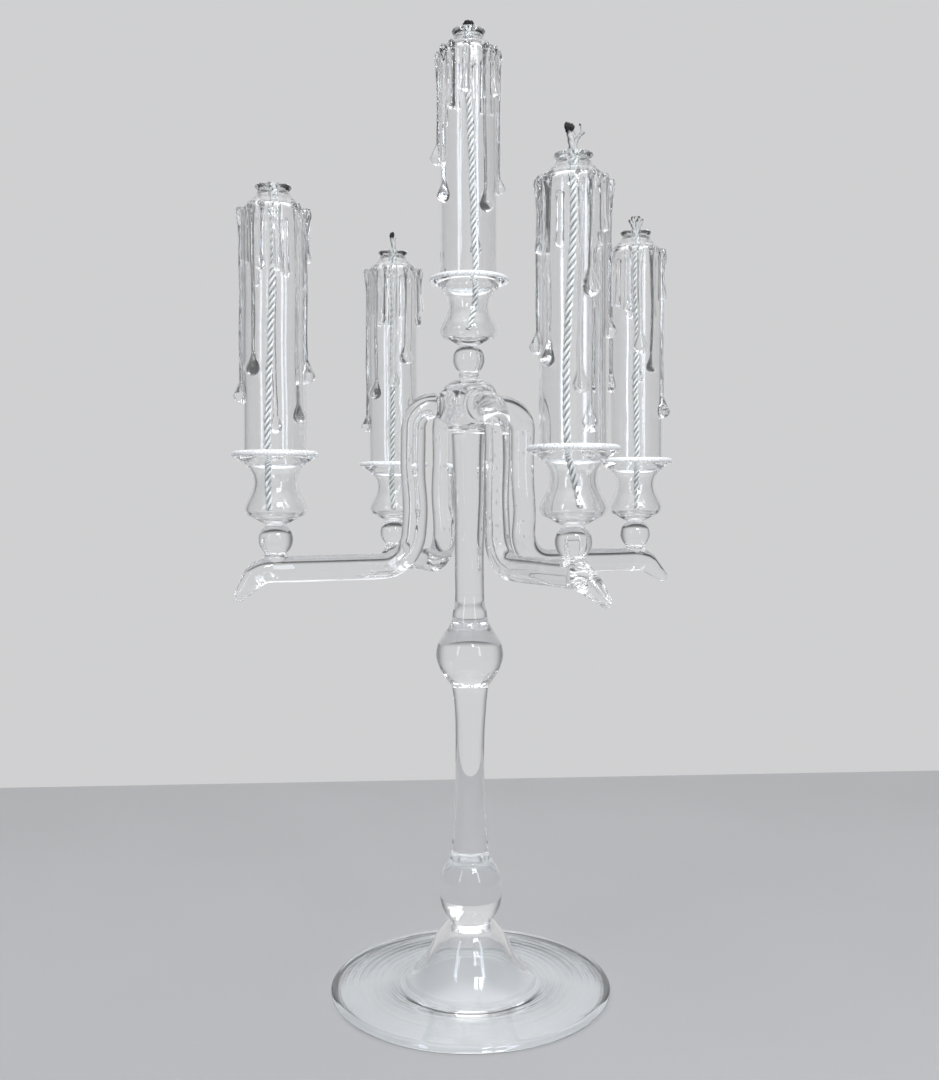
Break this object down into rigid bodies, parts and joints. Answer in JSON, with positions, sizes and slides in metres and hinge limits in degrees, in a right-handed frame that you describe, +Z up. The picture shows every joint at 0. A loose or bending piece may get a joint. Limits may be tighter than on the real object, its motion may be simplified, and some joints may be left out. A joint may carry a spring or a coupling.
{
  "type": "candelabra",
  "caption": "Clear glass candelabra with four S-shaped arms around a raised centre light, each light a hollow dripping-candle oil lamp with a lift-out wick holder.",
  "frame": {"origin": "centre of the foot, on the table", "axes": "+Z up along the stem; the four arms lie along +X (right), +Y (back), -X (left) and -Y (front)"},
  "size_m": [0.3162, 0.3156, 0.6339],
  "materials": {
    "clear_glass": "fire-polished clear borosilicate glass",
    "holder_glass": "fire-polished clear glass, a little seeded",
    "wick": "twisted glass-fibre cord, charred at the tip"
  },
  "bodies": {
    "stand": {"foot": "clear_glass", "lower_knop": "clear_glass", "lower_stem": "clear_glass", "middle_knop": "clear_glass", "upper_stem": "clear_glass", "crown": "clear_glass", "arm_right": "clear_glass", "arm_back": "clear_glass", "arm_left": "clear_glass", "arm_front": "clear_glass", "ball_right": "clear_glass", "ball_back": "clear_glass", "ball_left": "clear_glass", "ball_front": "clear_glass", "ball_center": "clear_glass", "cup_right": "clear_glass", "cup_back": "clear_glass", "cup_left": "clear_glass", "cup_front": "clear_glass", "cup_center": "clear_glass", "candle_right": "clear_glass", "candle_back": "clear_glass", "candle_left": "clear_glass", "candle_front": "clear_glass", "candle_center": "clear_glass", "drips_right": "clear_glass", "drips_back": "clear_glass", "drips_left": "clear_glass", "drips_front": "clear_glass", "drips_center": "clear_glass"},
    "lamp_right": {"holder_right": "holder_glass"},
    "wick_right": {"wick_right": "wick"},
    "lamp_back": {"holder_back": "holder_glass"},
    "wick_back": {"wick_back": "wick"},
    "lamp_left": {"holder_left": "holder_glass"},
    "wick_left": {"wick_left": "wick"},
    "lamp_front": {"holder_front": "holder_glass"},
    "wick_front": {"wick_front": "wick"},
    "lamp_center": {"holder_center": "holder_glass"},
    "wick_center": {"wick_center": "wick"}
  },
  "joints": [
    {"name": "holder_lift_right", "type": "slide", "parent": "stand", "child": "lamp_right", "axis": [0, 0, 1], "range_m": [0, 0.21]},
    {"name": "holder_lift_back", "type": "slide", "parent": "stand", "child": "lamp_back", "axis": [0, 0, 1], "range_m": [0, 0.21]},
    {"name": "holder_lift_left", "type": "slide", "parent": "stand", "child": "lamp_left", "axis": [0, 0, 1], "range_m": [0, 0.21]},
    {"name": "holder_lift_front", "type": "slide", "parent": "stand", "child": "lamp_front", "axis": [0, 0, 1], "range_m": [0, 0.21]},
    {"name": "holder_lift_center", "type": "slide", "parent": "stand", "child": "lamp_center", "axis": [0, 0, 1], "range_m": [0, 0.21]},
    {"name": "wick_feed_right", "type": "slide", "parent": "lamp_right", "child": "wick_right", "axis": [0, 0, 1], "range_m": [0, 0.01]},
    {"name": "wick_feed_back", "type": "slide", "parent": "lamp_back", "child": "wick_back", "axis": [0, 0, 1], "range_m": [0, 0.01]},
    {"name": "wick_feed_left", "type": "slide", "parent": "lamp_left", "child": "wick_left", "axis": [0, 0, 1], "range_m": [0, 0.01]},
    {"name": "wick_feed_front", "type": "slide", "parent": "lamp_front", "child": "wick_front", "axis": [0, 0, 1], "range_m": [0, 0.01]},
    {"name": "wick_feed_center", "type": "slide", "parent": "lamp_center", "child": "wick_center", "axis": [0, 0, 1], "range_m": [0, 0.01]}
  ]
}
